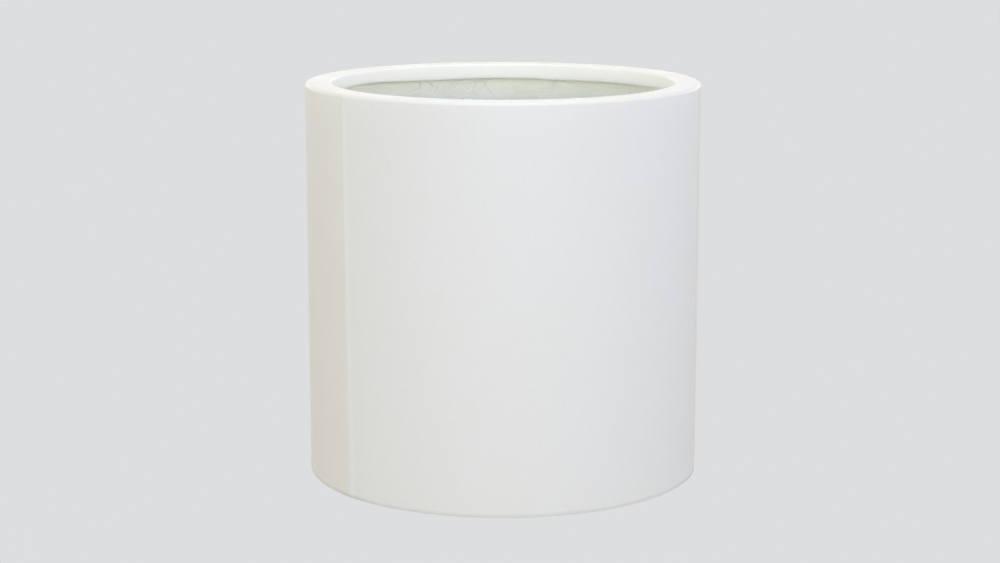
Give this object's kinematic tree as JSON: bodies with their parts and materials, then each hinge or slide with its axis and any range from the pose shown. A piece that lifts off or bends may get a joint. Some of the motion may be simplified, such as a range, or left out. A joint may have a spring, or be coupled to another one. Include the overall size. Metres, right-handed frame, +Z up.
{
  "type": "planter",
  "caption": "Round fibreglass floor planter with a flat rim turned inwards and down, a raised bonded-in base and lift-out rubber drain plugs.",
  "frame": {"origin": "on the ground, at the pot's axis", "axes": "+Z up along the axis, -Y towards the front as pictured, +X to the right"},
  "size_m": [0.6, 0.6, 0.6],
  "materials": {
    "gelcoat": "satin",
    "laminate": "rough",
    "paste": "matte",
    "rubber": "matte"
  },
  "bodies": {
    "pot": {"gelcoat_skin": "gelcoat", "shell_laminate": "laminate", "base_tray": "laminate", "bond_paste": "paste", "base_tabbing": "laminate"},
    "plug_1": {"drain_plug_1": "rubber"},
    "plug_2": {"drain_plug_2": "rubber"},
    "plug_3": {"drain_plug_3": "rubber"},
    "plug_4": {"drain_plug_4": "rubber"}
  },
  "joints": [
    {"name": "plug_1_lift", "type": "slide", "parent": "pot", "child": "plug_1", "axis": [0, 0, 1], "range_m": [0, 0.03]},
    {"name": "plug_2_lift", "type": "slide", "parent": "pot", "child": "plug_2", "axis": [0, 0, 1], "range_m": [0, 0.03]},
    {"name": "plug_3_lift", "type": "slide", "parent": "pot", "child": "plug_3", "axis": [0, 0, 1], "range_m": [0, 0.03]},
    {"name": "plug_4_lift", "type": "slide", "parent": "pot", "child": "plug_4", "axis": [0, 0, 1], "range_m": [0, 0.03]}
  ]
}
